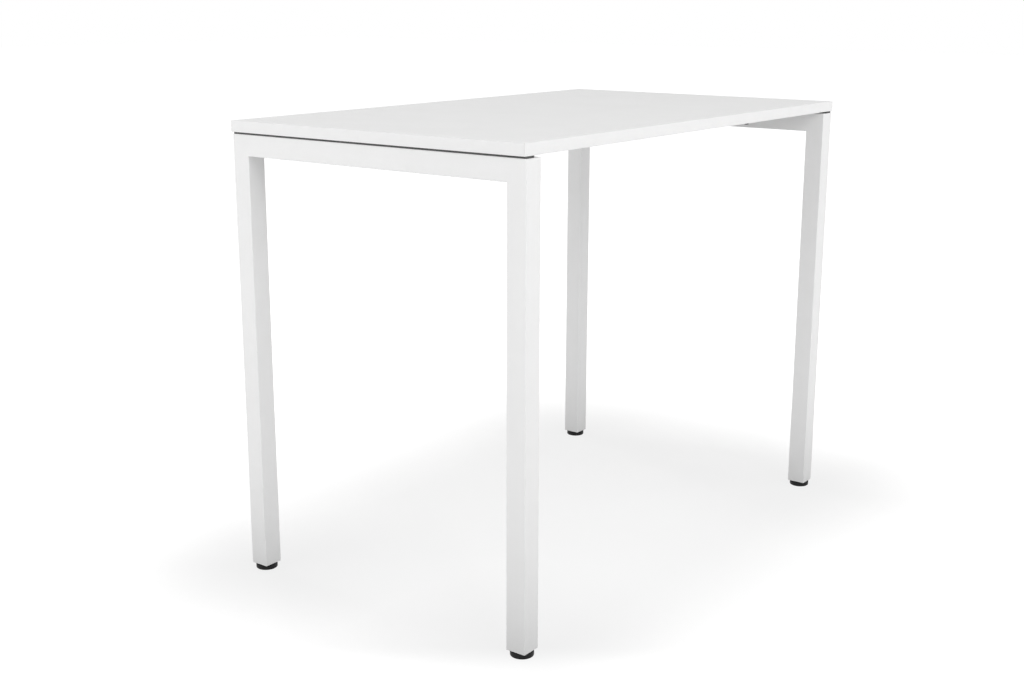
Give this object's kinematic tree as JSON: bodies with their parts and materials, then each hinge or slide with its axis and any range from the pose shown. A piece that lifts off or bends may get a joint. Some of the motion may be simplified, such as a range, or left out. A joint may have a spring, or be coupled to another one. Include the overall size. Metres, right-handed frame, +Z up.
{
  "type": "high table",
  "caption": "Bar-height table: rectangular white top with a shadow gap on two welded square-tube end frames, joined by hidden rails, on black adjustable screw feet.",
  "frame": {"origin": "on the floor under the middle of the top, with the feet fully screwed in", "axes": "+X along the long side of the top, +Y along the short side, +Z up; front is -Y and left is -X"},
  "size_m": [1.35, 0.803, 1.05],
  "materials": {
    "top_laminate": "particle board faced with white melamine, fine low sheen texture",
    "edge_band": "white ABS edge band, satin",
    "frame_powder_coat": "white satin powder coat on steel, faint orange peel",
    "spacer_rubber": "black rubber strip, matt",
    "foot_plastic": "black moulded nylon, fine grain",
    "black_bolt": "black oxide steel",
    "zinc_plated_steel": "bright zinc plate"
  },
  "bodies": {
    "root": {"worktop_board": "top_laminate", "edge_band_front": "edge_band", "edge_band_rear": "edge_band", "edge_band_left": "edge_band", "edge_band_right": "edge_band", "crossbar_left": "frame_powder_coat", "crossbar_strip_left": "spacer_rubber", "leg_front_left": "frame_powder_coat", "rail_seat_front_left": "frame_powder_coat", "rail_bolt_front_left": "black_bolt", "rail_nut_front_left": "zinc_plated_steel", "leg_insert_front_left": "foot_plastic", "foot_nut_front_left": "zinc_plated_steel", "leg_rear_left": "frame_powder_coat", "rail_seat_rear_left": "frame_powder_coat", "rail_bolt_rear_left": "black_bolt", "rail_nut_rear_left": "zinc_plated_steel", "leg_insert_rear_left": "foot_plastic", "foot_nut_rear_left": "zinc_plated_steel", "crossbar_right": "frame_powder_coat", "crossbar_strip_right": "spacer_rubber", "leg_front_right": "frame_powder_coat", "rail_seat_front_right": "frame_powder_coat", "rail_bolt_front_right": "black_bolt", "rail_nut_front_right": "zinc_plated_steel", "leg_insert_front_right": "foot_plastic", "foot_nut_front_right": "zinc_plated_steel", "leg_rear_right": "frame_powder_coat", "rail_seat_rear_right": "frame_powder_coat", "rail_bolt_rear_right": "black_bolt", "rail_nut_rear_right": "zinc_plated_steel", "leg_insert_rear_right": "foot_plastic", "foot_nut_rear_right": "zinc_plated_steel", "rail_front": "frame_powder_coat", "rail_strip_front": "spacer_rubber", "rail_rear": "frame_powder_coat", "rail_strip_rear": "spacer_rubber", "top_screw_front_1": "zinc_plated_steel", "top_screw_front_2": "zinc_plated_steel", "top_screw_front_3": "zinc_plated_steel", "top_screw_rear_1": "zinc_plated_steel", "top_screw_rear_2": "zinc_plated_steel", "top_screw_rear_3": "zinc_plated_steel", "top_screw_left_1": "zinc_plated_steel", "top_screw_left_2": "zinc_plated_steel", "top_screw_left_3": "zinc_plated_steel", "top_screw_right_1": "zinc_plated_steel", "top_screw_right_2": "zinc_plated_steel", "top_screw_right_3": "zinc_plated_steel"},
    "foot_front_left": {"foot_base_front_left": "foot_plastic"},
    "stem_front_left": {"foot_stem_front_left": "zinc_plated_steel"},
    "foot_rear_left": {"foot_base_rear_left": "foot_plastic"},
    "stem_rear_left": {"foot_stem_rear_left": "zinc_plated_steel"},
    "foot_front_right": {"foot_base_front_right": "foot_plastic"},
    "stem_front_right": {"foot_stem_front_right": "zinc_plated_steel"},
    "foot_rear_right": {"foot_base_rear_right": "foot_plastic"},
    "stem_rear_right": {"foot_stem_rear_right": "zinc_plated_steel"}
  },
  "joints": [
    {"name": "foot_height_front_left", "type": "slide", "parent": "root", "child": "foot_front_left", "axis": [0, 0, -1], "range_m": [0, 0.012]},
    {"name": "stem_turn_front_left", "type": "hinge", "parent": "foot_front_left", "child": "stem_front_left", "pos_m": [-0.6465, -0.3765, 0.02], "axis": [0, 0, -1], "range_deg": [0, 2880]},
    {"name": "foot_height_rear_left", "type": "slide", "parent": "root", "child": "foot_rear_left", "axis": [0, 0, -1], "range_m": [0, 0.012]},
    {"name": "stem_turn_rear_left", "type": "hinge", "parent": "foot_rear_left", "child": "stem_rear_left", "pos_m": [-0.6465, 0.3765, 0.02], "axis": [0, 0, -1], "range_deg": [0, 2880]},
    {"name": "foot_height_front_right", "type": "slide", "parent": "root", "child": "foot_front_right", "axis": [0, 0, -1], "range_m": [0, 0.012]},
    {"name": "stem_turn_front_right", "type": "hinge", "parent": "foot_front_right", "child": "stem_front_right", "pos_m": [0.6465, -0.3765, 0.02], "axis": [0, 0, -1], "range_deg": [0, 2880]},
    {"name": "foot_height_rear_right", "type": "slide", "parent": "root", "child": "foot_rear_right", "axis": [0, 0, -1], "range_m": [0, 0.012]},
    {"name": "stem_turn_rear_right", "type": "hinge", "parent": "foot_rear_right", "child": "stem_rear_right", "pos_m": [0.6465, 0.3765, 0.02], "axis": [0, 0, -1], "range_deg": [0, 2880]}
  ],
  "couplings": [
    {"joint": "stem_turn_front_left", "follows": "foot_height_front_left", "rad_per_m": 4188.8},
    {"joint": "stem_turn_rear_left", "follows": "foot_height_rear_left", "rad_per_m": 4188.8},
    {"joint": "stem_turn_front_right", "follows": "foot_height_front_right", "rad_per_m": 4188.8},
    {"joint": "stem_turn_rear_right", "follows": "foot_height_rear_right", "rad_per_m": 4188.8}
  ]
}
